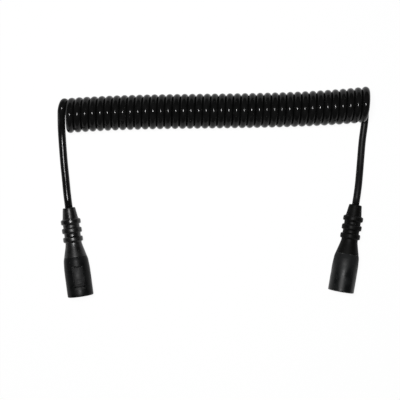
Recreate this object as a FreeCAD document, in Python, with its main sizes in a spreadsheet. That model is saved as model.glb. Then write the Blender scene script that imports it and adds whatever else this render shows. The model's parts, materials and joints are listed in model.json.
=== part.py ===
import FreeCAD, Part
import math
import os
import Sketcher
from FreeCAD import Placement, Rotation, Vector

# Retractile XLR lead, in millimetres, lying on the plane Z = 0.
# X runs along the coil, Y points from the connectors to the coil, Z is up.
# The origin is under the middle of the two connectors.

document = FreeCAD.newDocument("coiled_xlr_lead")
sheet = document.addObject("Spreadsheet::Sheet", "sizes")

# Driving sizes: alias, value, meaning.
SIZES = [
    # Barrel housings
    ("shell_bore", 8.0, "inside of both barrels"),
    ("shell_wall", 1.8, "wall of both barrels"),
    ("seat_wall", 0.65, "wall where barrel and boot meet"),
    ("knee_wall", 1.3, "wall at the end of the steep taper"),
    ("shell_knee", 2.4, "steep taper's length, from the seat"),
    ("shell_full", 9.5, "distance from the seat to the full radius"),
    ("socket_length", 30.0, "socket barrel, seat to front"),
    ("plug_length", 29.0, "plug barrel, seat to front"),
    ("socket_rim_round", 1.0, "round on the socket's front rim"),
    ("plug_rim_chamfer", 0.5, "chamfer on the plug's front rim"),
    ("mouth_chamfer", 0.4, "chamfer inside both mouths"),
    # Clearances
    ("fit_clearance", 0.05, "radial gap of an insert in its barrel"),
    ("run_clearance", 0.06, "radial gap of a part that turns or slides"),
    ("seat_clearance", 0.1, "end gap of a seated part"),
    # Contacts, shared by both connectors
    ("contact_spread", 3.81, "contacts 1 and 2, from the middle plane"),
    ("contact_rise", 1.78, "contacts 1 and 2, above the axis"),
    ("contact_drop", 4.2, "contact 3, below the axis"),
    ("pin_radius", 1.18, "plug pins"),
    ("pin_reach", 12.5, "plug pins, from insert to tip"),
    ("pin_root_radius", 1.6, "pin inside its insert"),
    ("pin_round", 0.95, "round on a pin's tip"),
    ("contact_radius", 1.75, "outside of a socket contact"),
    ("contact_slit", 0.35, "slits that spring the socket contacts"),
    ("contact_slit_length", 7.0, "length of those slits"),
    ("contact_depth", 13.0, "depth of a socket contact's bore"),
    ("cup_end", 3.0, "solder cups' rear, from the seat"),
    ("cup_bore", 1.0, "solder cups' inner radius"),
    ("cup_depth", 4.0, "solder cups' depth"),
    ("cup_open_height", 0.3, "edge of a cup's side opening, above its middle"),
    ("cup_open_length", 2.0, "length of that opening"),
    # Inserts
    ("insert_rear", 6.5, "rear of both inserts, from the seat"),
    ("socket_recess", 0.8, "socket insert's face behind the rim"),
    ("socket_lip", 1.2, "plastic in front of the socket contacts"),
    ("plug_recess", 14.0, "plug insert's face behind the rim"),
    # Key of the plug
    ("key_width", 2.2, "key inside the plug's mouth"),
    ("key_height", 1.0, "how far the key stands in"),
    ("key_length", 10.0, "key, along the barrel"),
    # Latch of the socket
    ("tab_width", 7.0, "push tab, across"),
    ("tab_rear", 7.8, "push tab's rear edge, from the seat"),
    ("tab_length", 14.2, "push tab, along the barrel"),
    ("tab_proud", 0.35, "push tab above the barrel"),
    ("tab_inset", 0.4, "underside of the tab, inside the bore"),
    ("tab_round", 0.3, "round on the tab's outer edges"),
    ("tab_gap", 0.4, "gap beside the tab"),
    ("tab_rear_gap", 0.8, "gap behind the tab"),
    ("tab_front_gap", 0.7, "gap in front of the tab, for its swing"),
    ("tab_well_gap", 1.5, "room under the tab, down to its well"),
    ("arm_width", 4.6, "latch arm, across"),
    ("arm_inset", 0.7, "top of the arm, inside the bore"),
    ("arm_thickness", 1.5, "latch arm, top to underside"),
    ("arm_reach", 26.5, "front of the arm, from the seat"),
    ("hook_length", 1.6, "hook at the arm's front"),
    ("hook_rise", 0.45, "hook above the arm"),
    ("groove_depth", 4.0, "latch groove in the insert, from the bore"),
    ("groove_gap", 0.4, "groove beside the arm"),
    ("pivot_along", 9.8, "latch pivot, from the seat"),
    ("pivot_inset", 1.8, "latch pivot, inside the bore"),
    ("eye_wall", 0.5, "arm's wall round the latch pin"),
    ("pivot_radius", 0.55, "latch pin"),
    ("pivot_length", 8.0, "latch pin, across"),
    ("leaf_thickness", 0.3, "latch spring's strip"),
    ("leaf_width", 3.0, "latch spring, across"),
    ("leaf_rear", 11.5, "latch spring's foot, from the seat"),
    ("leaf_foot", 3.0, "length of the foot"),
    ("leaf_front", 20.0, "latch spring's tip, from the seat"),
    ("grip_count", 3, "bars on the push tab"),
    ("grip_pitch", 1.5, "bar to bar"),
    ("grip_first", 5.6, "first bar, from the tab's front"),
    ("grip_width", 0.6, "one bar, along the barrel"),
    ("grip_span", 3.6, "one bar, across"),
    ("grip_height", 0.2, "one bar, above the tab"),
    # Earth tags
    ("tag_thickness", 0.5, "tag's plate"),
    ("tag_width", 3.0, "tag, across"),
    ("tag_inset", 2.4, "inner face of the tag's leg, inside the bore"),
    ("tag_angle", -35.0, "tag's place round the axis, degrees"),
    # Boots
    ("boot_length", 37.5, "boot, from its tip to the barrel's seat"),
    ("boot_tip_radius", 4.7, "boot's cable end"),
    ("tip_chamfer", 0.5, "edge of the cable end"),
    ("cone_radius", 5.9, "end of the tip's cone"),
    ("cone_length", 8.4, "length of the tip's cone"),
    ("neck_radius", 6.2, "neck between the ribs"),
    ("waist_radius", 6.05, "waist behind the flare"),
    ("waist_gap", 3.5, "last rib's middle to the waist"),
    ("flare_round", 9.0, "round where the flare starts"),
    ("rib_radius", 7.5, "top of a rib"),
    ("rib_width", 3.9, "one rib, along the boot"),
    ("rib_round", 1.2, "round on a rib's edges"),
    ("rib_first", 10.7, "first rib's middle, from the tip"),
    ("rib_pitch", 6.7, "rib to rib"),
    ("rib_count", 3, "ribs on a boot"),
    ("spigot_length", 4.0, "boot's thread inside the barrel"),
    ("thread_pitch", 1.0, "thread's rings, one to the next"),
    ("thread_depth", 0.3, "depth of the thread's rings"),
    ("thread_count", 3, "rings of the thread"),
    ("boot_cavity", 4.3, "boot's inside round the collet"),
    ("spigot_wall", 1.65, "boot's wall under the thread"),
    ("cavity_start", 12.4, "cavity's rear, from the tip"),
    ("cavity_taper_gap", 8.3, "start of the cavity's taper, behind the barrel's seat"),
    ("cavity_wide_gap", 4.1, "end of the cavity's taper, behind the seat"),
    # Collets
    ("collet_rear", 15.0, "collet's rear, from the boot's tip"),
    ("collet_front_gap", 1.0, "collet's front, behind the barrel's seat"),
    ("collet_slot", 0.9, "width of the collet's slots"),
    ("collet_ring", 7.5, "collet's whole ring in front of its slots"),
    # Lead
    ("cable_diameter", 5.1, "jacket of the lead"),
    ("cable_end_gap", 2.5, "jacket's end, behind the barrel's seat"),
    ("core_radius", 0.75, "one core in its insulation"),
    ("core_circle", 1.15, "cores in the jacket, from its middle"),
    ("core_straight", 1.6, "straight part of a core in front of the jacket"),
    ("core_turn", 0.5, "core's last corner, behind its cup"),
    ("core_depth", 3.2, "core's end inside its cup"),
    # Coil
    ("turn_count", 40, "whole turns"),
    ("turn_gap", 0.554, "gap from turn to turn, along X"),
    ("coil_radius", 10.3, "axis of the coil to the cable's middle"),
    ("coil_swell", 0.3, "extra radius at the plug's end"),
    ("coil_middle_x", 2.69, "middle of the coil along X"),
    ("coil_middle_y", 105.1, "height of the coil's axis in plan"),
    ("axis_tilt", 1.3, "axis slope, at half the coil's length"),
    ("axis_bow", 0.65, "axis bow, at half the coil's length"),
    ("axis_kick", 2.95, "axis turn-up at the plug's end"),
    ("lean_socket", 1.5, "turns' lean along X at the socket's end"),
    ("lean_plug", 0.2, "turns' lean along X at the plug's end"),
    ("exit_shift", 0.5, "shift along X where the right tail leaves the coil"),
    ("end_loop", 5.4, "radius of the half loop into the left tail"),
    ("end_loop_drop", 40.0, "slope of the left tail's first run, degrees"),
    ("left_tail_height", 8.0, "left tail's middle over the table, between coil and boot"),
    ("left_exit_turn", 6.7, "left tail's first run, off -Y in plan, degrees"),
    ("right_exit_turn", 2.7, "right tail's first run, off -Y in plan, degrees"),
    # Places of the connectors on the table
    ("socket_x", -103.5, "socket's seat, along X"),
    ("socket_y", -5.0, "socket's seat, along Y"),
    ("socket_yaw", 7.7, "socket's turn in plan, degrees"),
    ("socket_roll", -10.0, "socket's roll about its axis, degrees"),
    ("plug_x", 102.5, "plug's seat, along X"),
    ("plug_y", -2.6, "plug's seat, along Y"),
    ("plug_yaw", -9.7, "plug's turn in plan, degrees"),
]


# Cuts start and end this far outside the solid.
PAST = 1.0


class Size:
    # A number together with the sheet expression that gives it.
    def __init__(self, text, number):
        self.text = text
        self.number = float(number)

    def joined(self, sign, other, number):
        text = other.text if isinstance(other, Size) else repr(other)
        return Size("(%s %s %s)" % (self.text, sign, text), number)

    def __add__(self, other):
        return self.joined("+", other, self.number + plain(other))

    def __sub__(self, other):
        return self.joined("-", other, self.number - plain(other))

    def __mul__(self, other):
        return self.joined("*", other, self.number * plain(other))

    def __truediv__(self, other):
        return self.joined("/", other, self.number / plain(other))

    def __neg__(self):
        return Size("(0 - %s)" % self.text, -self.number)


def plain(value):
    return value.number if isinstance(value, Size) else float(value)


class Named:
    # The sheet's cells, read back by their aliases.
    pass


def fill_sheet():
    named = Named()
    for row, (alias, value, meaning) in enumerate(SIZES, start=1):
        sheet.set("A%d" % row, str(value))
        sheet.setAlias("A%d" % row, alias)
        sheet.set("B%d" % row, meaning)
    document.recompute()
    for alias, _, _ in SIZES:
        setattr(named, alias, Size("sizes." + alias, sheet.get(alias)))
    return named


def add_worked_out(s):
    # Barrels: radii, and heights above the axis.
    s.shell_radius = s.shell_bore + s.shell_wall
    s.shell_seat_radius = s.shell_bore + s.seat_wall
    s.shell_knee_radius = s.shell_bore + s.knee_wall
    s.tab_under = s.shell_bore - s.tab_inset
    s.tab_well = s.tab_under - s.tab_well_gap
    s.arm_top = s.shell_bore - s.arm_inset
    s.arm_under = s.arm_top - s.arm_thickness
    s.groove_floor = s.shell_bore - s.groove_depth
    s.pivot_height = s.shell_bore - s.pivot_inset
    s.tag_inner = s.shell_bore - s.tag_inset
    # Boots: radius of the mouth, and places from the tip.
    s.boot_mouth = s.shell_bore - s.fit_clearance - s.spigot_wall
    s.waist_along = s.rib_first + s.rib_pitch * (s.rib_count - 1) + s.waist_gap
    s.cavity_taper = s.boot_length - s.cavity_taper_gap
    s.cavity_wide = s.boot_length - s.cavity_wide_gap
    s.collet_front = s.boot_length - s.collet_front_gap
    s.collet_slot_end = s.collet_front - s.collet_ring
    s.cable_end = s.boot_length - s.cable_end_gap
    s.turn_pitch = s.cable_diameter + s.turn_gap


S = fill_sheet()
add_worked_out(S)
pieces = {}


# Small helpers for bodies, sketches and features

def new_body(label):
    body = document.addObject("PartDesign::Body", label)
    body.Label = label
    pieces[label] = body
    return body


def new_sketch(body, role, offset=None):
    sketch = body.newObject("Sketcher::SketchObject", body.Name + "_sketch")
    plane = [p for p in body.Origin.OriginFeatures if p.Role == role][0]
    sketch.AttachmentSupport = (plane, [""])
    sketch.MapMode = "FlatFace"
    if offset is not None:
        sketch.setExpression("AttachmentOffset.Base.z", offset.text)
    return sketch


def bind(sketch, kind, geometry, size):
    number = sketch.addConstraint(Sketcher.Constraint(kind, *geometry, size.number))
    sketch.setExpression("Constraints[%d]" % number, size.text)


def place_point(sketch, geometry, vertex, x, y):
    for kind, axis, size in (("DistanceX", -2, x), ("DistanceY", -1, y)):
        if isinstance(size, Size):
            bind(sketch, kind, (-1, 1, geometry, vertex), size)
        else:
            sketch.addConstraint(Sketcher.Constraint("PointOnObject", geometry, vertex, axis))


def draw_outline(sketch, corners):
    flat = [Vector(plain(x), plain(y), 0) for x, y in corners]
    first = sketch.GeometryCount
    count = len(corners)
    for i in range(count):
        sketch.addGeometry(Part.LineSegment(flat[i], flat[(i + 1) % count]), False)
    for i in range(count):
        after = first + (i + 1) % count
        sketch.addConstraint(Sketcher.Constraint("Coincident", first + i, 2, after, 1))
    for i, (x, y) in enumerate(corners):
        place_point(sketch, first + i, 1, x, y)


def draw_circle(sketch, x, y, radius):
    centre = Vector(plain(x), plain(y), 0)
    circle = Part.Circle(centre, Vector(0, 0, 1), radius.number)
    index = sketch.addGeometry(circle, False)
    place_point(sketch, index, 3, x, y)
    bind(sketch, "Radius", (index,), radius)


def draw_box(sketch, left, right, low, high):
    draw_outline(sketch, [(left, low), (right, low), (right, high), (left, high)])


def add_feature(body, kind, sketch, **settings):
    before = body.Tip.Shape.Volume if body.Tip else 0.0
    feature = body.newObject("PartDesign::" + kind, body.Name + "_" + kind.lower())
    feature.Profile = sketch
    for name, value in settings.items():
        if isinstance(value, Size):
            feature.setExpression(name, value.text)
        else:
            setattr(feature, name, value)
    sketch.Visibility = False
    document.recompute()
    after = feature.Shape.Volume
    cuts = kind in ("Pocket", "Groove")
    if (after >= before) if cuts else (after <= before):
        raise ValueError("%s of %s changes nothing" % (kind, body.Label))
    return feature


def turn(body, corners, cut=False):
    sketch = new_sketch(body, "XZ_Plane")
    draw_outline(sketch, corners)
    kind = "Groove" if cut else "Revolution"
    return add_feature(body, kind, sketch, ReferenceAxis=(sketch, ["V_Axis"]), Angle=360.0)


def repeat_along(body, feature, count, pitch):
    pattern = body.newObject("PartDesign::LinearPattern", body.Name + "_row")
    pattern.Originals = [feature]
    axis = [p for p in body.Origin.OriginFeatures if p.Role == "Z_Axis"][0]
    pattern.Direction = (axis, [""])
    pattern.Mode = "Spacing"
    pattern.setExpression("Offset", pitch.text)
    pattern.setExpression("Occurrences", count.text)
    body.Tip = pattern
    document.recompute()
    return pattern


def circle_edges(shape, radius, height):
    found = []
    for number, edge in enumerate(shape.Edges, start=1):
        curve = edge.Curve
        if not isinstance(curve, Part.Circle):
            continue
        if abs(curve.Radius - radius) < 1e-4 and abs(curve.Center.z - height) < 1e-4:
            found.append("Edge%d" % number)
    return found


def skin_edges(shape, radius):
    # Edges that lie wholly at this distance from the local Z axis.
    found = []
    for number, edge in enumerate(shape.Edges, start=1):
        points = edge.discretize(5)
        if all(abs(math.hypot(p.x, p.y) - radius) < 1e-4 for p in points):
            found.append("Edge%d" % number)
    return found


def dress(body, kind, circles, size):
    # A fillet or chamfer on the circular edges with these radii and heights.
    edges = []
    for radius, height in circles:
        edges += circle_edges(body.Tip.Shape, plain(radius), plain(height))
    return dress_edges(body, kind, edges, size)


def dress_edges(body, kind, edges, size):
    if not edges:
        raise ValueError("%s has no such edge" % body.Label)
    base = body.Tip
    feature = body.newObject("PartDesign::" + kind, body.Name + "_" + kind.lower())
    feature.Base = (base, edges)
    feature.setExpression("Radius" if kind == "Fillet" else "Size", size.text)
    body.Tip = feature
    document.recompute()
    return feature


# Barrels. Their local Z runs from the seat to the front, local Y is the key's side.

def make_barrel(label, length):
    body = new_body(label)
    turn(body, [
        (S.shell_bore, 0),
        (S.shell_seat_radius, 0),
        (S.shell_knee_radius, S.shell_knee),
        (S.shell_radius, S.shell_full),
        (S.shell_radius, length),
        (S.shell_bore, length),
    ])
    return body


def make_socket_shell():
    body = make_barrel("socket_shell", S.socket_length)
    dress(body, "Fillet", [(S.shell_radius, S.socket_length)], S.socket_rim_round)
    dress(body, "Chamfer", [(S.shell_bore, S.socket_length)], S.mouth_chamfer)
    window = new_sketch(body, "XZ_Plane")
    half = S.tab_width / 2 + S.tab_gap
    front = S.tab_rear + S.tab_length + S.tab_front_gap
    draw_box(window, -half, half, S.tab_rear - S.tab_rear_gap, front)
    add_feature(body, "Pocket", window, Type=0, Length=S.shell_radius + PAST, Reversed=False)
    return body


def make_plug_shell():
    body = make_barrel("plug_shell", S.plug_length)
    dress(body, "Chamfer", [(S.shell_radius, S.plug_length)], S.plug_rim_chamfer)
    dress(body, "Chamfer", [(S.shell_bore, S.plug_length)], S.mouth_chamfer)
    key = new_sketch(body, "XY_Plane", S.plug_length - S.mouth_chamfer - S.key_length)
    half = S.key_width / 2
    draw_box(key, -half, half, S.shell_bore - S.key_height, S.shell_bore + S.key_height / 2)
    add_feature(body, "Pad", key, Length=S.key_length)
    return body


# Inserts and contacts

# Contact 1 lies left of the key on the socket's face and right of it on the plug's.
SOCKET_SIDE = -1
PLUG_SIDE = 1


def contact_places(side):
    spread, rise, drop = S.contact_spread * side, S.contact_rise, S.contact_drop
    return [(spread, rise), (-spread, rise), (0, -drop)]


def make_insert(label, front):
    body = new_body(label)
    disc = new_sketch(body, "XY_Plane", S.insert_rear)
    draw_circle(disc, 0, 0, S.shell_bore - S.fit_clearance)
    add_feature(body, "Pad", disc, Length=front - S.insert_rear)
    return body


def drill_contacts(body, start, radius, depth):
    sketch = new_sketch(body, "XY_Plane", start)
    for x, y in contact_places(SOCKET_SIDE):
        draw_circle(sketch, x, y, radius)
    add_feature(body, "Pocket", sketch, Type=0, Length=depth, Reversed=True)


def make_socket_insert():
    front = S.socket_length - S.socket_recess
    body = make_insert("socket_insert", front)
    drill_contacts(body, S.insert_rear, S.contact_radius + S.fit_clearance,
                   front - S.insert_rear - S.socket_lip)
    drill_contacts(body, front - S.socket_lip, S.pin_radius + S.run_clearance, S.socket_lip)
    top = S.shell_bore + PAST
    groove = new_sketch(body, "XY_Plane", S.insert_rear)
    half = S.arm_width / 2 + S.groove_gap
    draw_box(groove, -half, half, S.groove_floor, top)
    add_feature(body, "Pocket", groove, Type=0, Length=front - S.insert_rear, Reversed=True)
    # The pin's ears stand higher than the well, so the well starts in front of them.
    ear_front = S.pivot_along + S.pivot_radius * 2
    well = new_sketch(body, "XY_Plane", ear_front)
    half = S.tab_width / 2 + S.tab_gap
    draw_box(well, -half, half, S.tab_well, top)
    well_front = S.tab_rear + S.tab_length + S.tab_front_gap
    add_feature(body, "Pocket", well, Type=0, Length=well_front - ear_front, Reversed=True)
    bore = new_sketch(body, "YZ_Plane")
    draw_circle(bore, S.pivot_height, S.pivot_along, S.pivot_radius + S.fit_clearance / 2)
    add_feature(body, "Pocket", bore, Type=0, Midplane=True, Length=S.shell_bore * 2)
    return body


def make_plug_insert():
    body = make_insert("plug_insert", S.plug_length - S.plug_recess)
    drill_contacts(body, S.insert_rear, S.pin_root_radius + S.fit_clearance,
                   S.plug_length - S.plug_recess - S.insert_rear)
    return body


def hollow_cup(body, outer):
    turn(body, [
        (0, S.cup_end - PAST),
        (S.cup_bore, S.cup_end - PAST),
        (S.cup_bore, S.cup_end + S.cup_depth),
        (0, S.cup_end + S.cup_depth),
    ], cut=True)
    side = new_sketch(body, "YZ_Plane")
    opening_front = S.cup_end + S.cup_open_length
    draw_box(side, S.cup_open_height, outer + PAST, S.cup_end - PAST, opening_front)
    add_feature(body, "Pocket", side, Type=0, Midplane=True, Length=outer * 2 + PAST)


def make_socket_contact(label):
    body = new_body(label)
    front = S.socket_length - S.socket_recess - S.socket_lip - S.seat_clearance
    turn(body, [
        (0, S.cup_end),
        (S.contact_radius, S.cup_end),
        (S.contact_radius, front),
        (0, front),
    ])
    turn(body, [
        (0, front - S.contact_depth),
        (S.pin_radius + S.run_clearance / 2, front - S.contact_depth),
        (S.pin_radius + S.run_clearance / 2, front + PAST),
        (0, front + PAST),
    ], cut=True)
    slit = new_sketch(body, "XZ_Plane")
    half = S.contact_slit / 2
    draw_box(slit, -half, half, front - S.contact_slit_length, front + PAST)
    add_feature(body, "Pocket", slit, Type=0, Midplane=True, Length=S.contact_radius * 2 + PAST)
    hollow_cup(body, S.contact_radius)
    return body


def make_plug_pin(label):
    body = new_body(label)
    face = S.plug_length - S.plug_recess
    tip = face + S.pin_reach
    turn(body, [
        (0, S.cup_end),
        (S.pin_root_radius, S.cup_end),
        (S.pin_root_radius, face),
        (S.pin_radius, face),
        (S.pin_radius, tip),
        (0, tip),
    ])
    dress(body, "Fillet", [(S.pin_radius, tip)], S.pin_round)
    hollow_cup(body, S.pin_root_radius)
    return body


def make_earth_tag(label):
    body = new_body(label)
    sketch = new_sketch(body, "XZ_Plane")
    outer = S.shell_bore - S.fit_clearance - S.tag_thickness
    top = S.insert_rear - S.fit_clearance
    draw_outline(sketch, [
        (S.tag_inner, S.cup_end),
        (S.tag_inner + S.tag_thickness, S.cup_end),
        (S.tag_inner + S.tag_thickness, top - S.tag_thickness),
        (outer, top - S.tag_thickness),
        (outer, top),
        (S.tag_inner, top),
    ])
    add_feature(body, "Pad", sketch, Midplane=True, Length=S.tag_width)
    return body


# Latch of the socket

def make_latch_lever():
    body = new_body("latch_lever")
    rear = S.tab_rear
    front = S.tab_rear + S.tab_length
    eye = S.pivot_along + S.eye_wall + S.pivot_radius
    top = S.tab_under + S.tab_proud
    arm = new_sketch(body, "YZ_Plane")
    draw_outline(arm, [
        (S.pivot_height - S.pivot_radius - S.eye_wall, rear),
        (S.pivot_height - S.pivot_radius - S.eye_wall, eye),
        (S.arm_under, eye),
        (S.arm_under, S.arm_reach),
        (S.arm_top + S.hook_rise, S.arm_reach),
        (S.arm_top + S.hook_rise, S.arm_reach - S.hook_length),
        (S.arm_top, S.arm_reach - S.hook_length),
        (S.arm_top, front),
        (top, front),
        (top, rear),
    ])
    add_feature(body, "Pad", arm, Midplane=True, Length=S.arm_width)
    tab = new_sketch(body, "XZ_Plane", -S.tab_under)
    half = S.tab_width / 2
    draw_box(tab, -half, half, rear, front)
    outer = S.shell_radius + S.tab_proud
    add_feature(body, "Pad", tab, Length=outer - S.tab_under, Reversed=True)
    trim_round(body, outer, rear - PAST, front)
    trim_round(body, S.shell_bore - S.run_clearance, front, S.arm_reach + PAST)
    dress_edges(body, "Fillet", skin_edges(body.Tip.Shape, outer.number), S.tab_round)
    bore = new_sketch(body, "YZ_Plane")
    draw_circle(bore, S.pivot_height, S.pivot_along, S.pivot_radius + S.run_clearance)
    add_feature(body, "Pocket", bore, Type=0, Midplane=True, Length=S.arm_width + PAST)
    bar = new_sketch(body, "XY_Plane", front - S.grip_first)
    half = S.grip_span / 2
    draw_box(bar, -half, half, S.tab_under, outer + S.grip_height)
    feature = add_feature(body, "Pad", bar, Length=S.grip_width)
    repeat_along(body, feature, S.grip_count, S.grip_pitch)
    return body


def trim_round(body, radius, low, high):
    # Takes off what stands outside this radius.
    far = radius * 2
    turn(body, [(radius, low), (far, low), (far, high), (radius, high)], cut=True)


def make_latch_pin():
    body = new_body("latch_pin")
    sketch = new_sketch(body, "YZ_Plane")
    draw_circle(sketch, S.pivot_height, S.pivot_along, S.pivot_radius)
    add_feature(body, "Pad", sketch, Midplane=True, Length=S.pivot_length)
    return body


def make_latch_spring():
    body = new_body("latch_spring")
    sketch = new_sketch(body, "YZ_Plane")
    foot = S.groove_floor + S.fit_clearance
    bend = S.leaf_rear + S.leaf_foot
    tip = S.arm_under - S.seat_clearance
    draw_outline(sketch, [
        (foot, S.leaf_rear),
        (foot, bend),
        (tip - S.leaf_thickness, S.leaf_front),
        (tip, S.leaf_front),
        (foot + S.leaf_thickness, bend),
        (foot + S.leaf_thickness, S.leaf_rear),
    ])
    add_feature(body, "Pad", sketch, Midplane=True, Length=S.leaf_width)
    return body


# Boots and collets. Their local Z runs from the boot's tip towards the barrel.

def make_boot(label):
    body = new_body(label)
    seat = S.boot_length
    turn(body, [
        (0, 0),
        (S.boot_tip_radius, 0),
        (S.cone_radius, S.cone_length),
        (S.neck_radius, S.cone_length),
        (S.neck_radius, S.rib_first + S.rib_pitch * (S.rib_count - 1)),
        (S.waist_radius, S.waist_along),
        (S.shell_seat_radius, seat),
        (S.shell_bore - S.fit_clearance, seat),
        (S.shell_bore - S.fit_clearance, seat + S.spigot_length),
        (0, seat + S.spigot_length),
    ])
    dress(body, "Fillet", [(S.waist_radius, S.waist_along)], S.flare_round)
    dress(body, "Chamfer", [(S.boot_tip_radius, 0)], S.tip_chamfer)
    rib = turn(body, rounded_rib())
    repeat_along(body, rib, S.rib_count, S.rib_pitch)
    ring = S.shell_bore - S.fit_clearance
    low = seat + S.thread_pitch * 0.75
    groove = turn(body, [
        (ring - S.thread_depth, low + S.thread_pitch / 4),
        (ring + PAST, low - S.thread_pitch / 4),
        (ring + PAST, low + S.thread_pitch * 0.75),
    ], cut=True)
    repeat_along(body, groove, S.thread_count, S.thread_pitch)
    bore = S.cable_diameter / 2 + S.fit_clearance
    turn(body, [
        (0, -PAST),
        (bore, -PAST),
        (bore, S.cavity_start),
        (S.boot_cavity, S.cavity_start),
        (S.boot_cavity, S.cavity_taper),
        (S.boot_mouth, S.cavity_wide),
        (S.boot_mouth, seat + S.spigot_length + PAST),
        (0, seat + S.spigot_length + PAST),
    ], cut=True)
    return body


def rounded_rib():
    # A ring whose outer corners are cut at the rib's round.
    low = S.rib_first - S.rib_width / 2
    high = S.rib_first + S.rib_width / 2
    inner = S.neck_radius - S.rib_round / 2
    cut = S.rib_round
    return [
        (inner, low),
        (S.rib_radius - cut, low),
        (S.rib_radius - cut / 4, low + cut / 4),
        (S.rib_radius, low + cut),
        (S.rib_radius, high - cut),
        (S.rib_radius - cut / 4, high - cut / 4),
        (S.rib_radius - cut, high),
        (inner, high),
    ]


def make_collet(label):
    body = new_body(label)
    bore = S.cable_diameter / 2 + S.fit_clearance
    slim = S.boot_cavity - S.seat_clearance
    wide = S.boot_mouth - S.seat_clearance
    turn(body, [
        (bore, S.collet_rear),
        (slim, S.collet_rear),
        (slim, S.cavity_taper),
        (wide, S.cavity_wide),
        (wide, S.collet_front),
        (bore, S.collet_front),
    ])
    for role in ("XZ_Plane", "YZ_Plane"):
        slot = new_sketch(body, role)
        half = S.collet_slot / 2
        draw_box(slot, -half, half, S.collet_rear - PAST, S.collet_slot_end)
        add_feature(body, "Pocket", slot, Type=0, Midplane=True, Length=S.boot_mouth * 2)
    return body


def make_cable_end(label):
    body = new_body(label)
    sketch = new_sketch(body, "XY_Plane")
    draw_circle(sketch, 0, 0, S.cable_diameter / 2)
    add_feature(body, "Pad", sketch, Length=S.cable_end)
    return body


# Tubes of straight runs and tangent arcs

def make_tube(label, points, radius):
    path, radii = rounded_path(points)
    wire = Part.Wire(path)
    heading = (points[1] - points[0]).normalize()
    section = Part.Wire([Part.Circle(points[0], heading, radius).toShape()])
    tube = wire.makePipeShell([section], True, False)
    piece = add_shape(label, tube)
    expected = math.pi * radius ** 2 * wire.Length
    print(label, "length %.2f" % wire.Length, "radii", ["%.1f" % r for r in radii],
          "volume/expected %.4f" % (tube.Volume / expected))
    return piece


def add_shape(label, shape):
    piece = document.addObject("Part::Feature", label)
    piece.Label = label
    piece.Shape = shape
    pieces[label] = piece
    return piece


def rounded_path(points):
    # Each corner gets the largest arc that 0.45 of its shorter run allows.
    edges, radii = [], []
    at = points[0]
    for before, corner, after in zip(points, points[1:], points[2:]):
        arrive = (corner - before).normalize()
        leave = (after - corner).normalize()
        reach = 0.45 * min((corner - before).Length, (after - corner).Length)
        half_turn = math.acos(max(-1.0, min(1.0, arrive.dot(leave)))) / 2
        radii.append(reach / math.tan(half_turn))
        start = corner - arrive * reach
        edges.append(Part.LineSegment(at, start).toShape())
        edges.append(arc_edge(start, arrive, corner + leave * reach))
        at = corner + leave * reach
    edges.append(Part.LineSegment(at, points[-1]).toShape())
    return edges, radii


def arc_edge(start, tangent, end):
    # The circular arc that leaves start along tangent and reaches end.
    chord = end - start
    along = chord.dot(tangent) / chord.Length
    if along > 1 - 1e-12:
        return Part.LineSegment(start, end).toShape()
    side = tangent - chord * (along / chord.Length)
    side.normalize()
    rise = chord.Length / 2 * math.tan(math.acos(along) / 2)
    return Part.Arc(start, start + chord * 0.5 + side * rise, end).toShape()


def biarc(start, tangent, end, end_tangent):
    # Two arcs that join two points with their headings.
    across = end - start
    both = tangent + end_tangent
    a = 2 * (1 - tangent.dot(end_tangent))
    b = across.dot(both)
    if a < 1e-9:
        reach = across.dot(across) / (4 * across.dot(end_tangent))
    else:
        reach = (math.sqrt(b * b + a * across.dot(across)) - b) / a
    middle = (start + tangent * reach + end - end_tangent * reach) * 0.5
    first = arc_edge(start, tangent, middle)
    second = arc_edge(end, -end_tangent, middle)
    return [first, second]


# Coil: a left-handed helix along a slightly bent axis

def coil_point(turn):
    # The cable's middle, turn 0 to turn_count, counted from the socket's end.
    count = S.turn_count.number
    half = count * S.turn_pitch.number / 2
    share = 2 * turn / count - 1
    radius = S.coil_radius.number + S.coil_swell.number * max(share, 0) ** 2
    lean = S.lean_socket.number + (S.lean_plug.number - S.lean_socket.number) * turn / count
    angle = -2 * math.pi * turn
    x = S.coil_middle_x.number + share * half - lean / 2 * math.cos(angle)
    y = S.coil_middle_y.number + S.axis_tilt.number * share
    y += S.axis_bow.number * share ** 2 + S.axis_kick.number * share ** 3
    z = radius + S.cable_diameter.number / 2
    return Vector(x, y + radius * math.cos(angle), z + radius * math.sin(angle))


def coil_heading(turn):
    step = 1e-4
    return (coil_point(turn + step) - coil_point(turn - step)).normalize()


def exit_heading(turned, drop=0.0):
    # From the coil towards a connector, turned in plan and dropping by these angles.
    flat = math.cos(math.radians(drop))
    aside = math.sin(math.radians(turned))
    forward = math.cos(math.radians(turned))
    return Vector(-aside * flat, -forward * flat, -math.sin(math.radians(drop)))


def coil_start():
    # Half loop from the first turn's crest into the left tail's slope.
    crest = coil_point(0)
    heading = coil_heading(0)
    leave = exit_heading(S.left_exit_turn.number, S.end_loop_drop.number)
    chord = (leave - heading).normalize()
    bend = math.acos(-heading.dot(leave))
    reach = 2 * S.end_loop.number * math.sin(bend / 2)
    return crest + chord * reach, leave


def coil_path():
    straight = S.cable_diameter.number
    loop_end, leave = coil_start()
    stations = [(loop_end, -leave)]
    quarters = int(S.turn_count.number * 4)
    for i in range(quarters + 2):
        stations.append((coil_point(i / 4), coil_heading(i / 4)))
    last = stations[-1][0] + Vector(S.exit_shift.number, 0, 0)
    out = exit_heading(S.right_exit_turn.number)
    stations[-1] = (last, out)
    edges = [Part.LineSegment(loop_end + leave * straight, loop_end).toShape()]
    for (start, tangent), (end, end_tangent) in zip(stations, stations[1:]):
        edges += biarc(start, tangent, end, end_tangent)
    edges.append(Part.LineSegment(last, last + out * straight).toShape())
    return edges, loop_end + leave * straight, last + out * straight


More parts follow.
